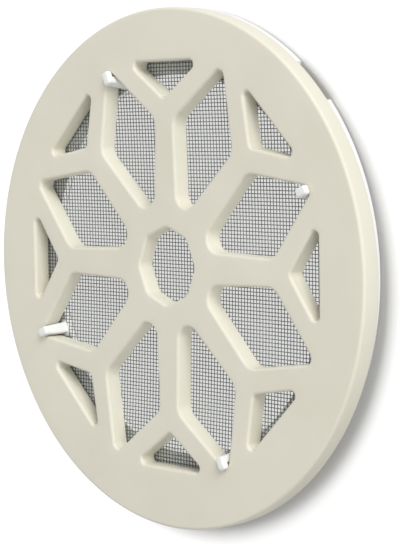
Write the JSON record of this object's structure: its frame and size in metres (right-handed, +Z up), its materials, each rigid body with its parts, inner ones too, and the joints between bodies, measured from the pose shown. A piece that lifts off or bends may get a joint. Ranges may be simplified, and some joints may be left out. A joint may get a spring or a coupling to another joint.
{
  "type": "ceramic vent grille",
  "caption": "Round ceramic vent grille with a pierced snowflake pattern, an insect screen behind it and a plastic back frame with snap hooks.",
  "frame": {"origin": "on the plate's axis, in the plane of the back of the frame, which lies on the wall", "axes": "+Y out of the back into the wall, -Y out of the face, +Z up"},
  "size_m": [0.2, 0.0131, 0.2],
  "materials": {
    "ceramic": "satin glaze",
    "screen": "woven, matt",
    "plastic": "moulded, semi-gloss"
  },
  "bodies": {
    "root": {"face_plate": "ceramic", "insect_screen": "screen", "back_frame": "plastic"}
  },
  "joints": []
}
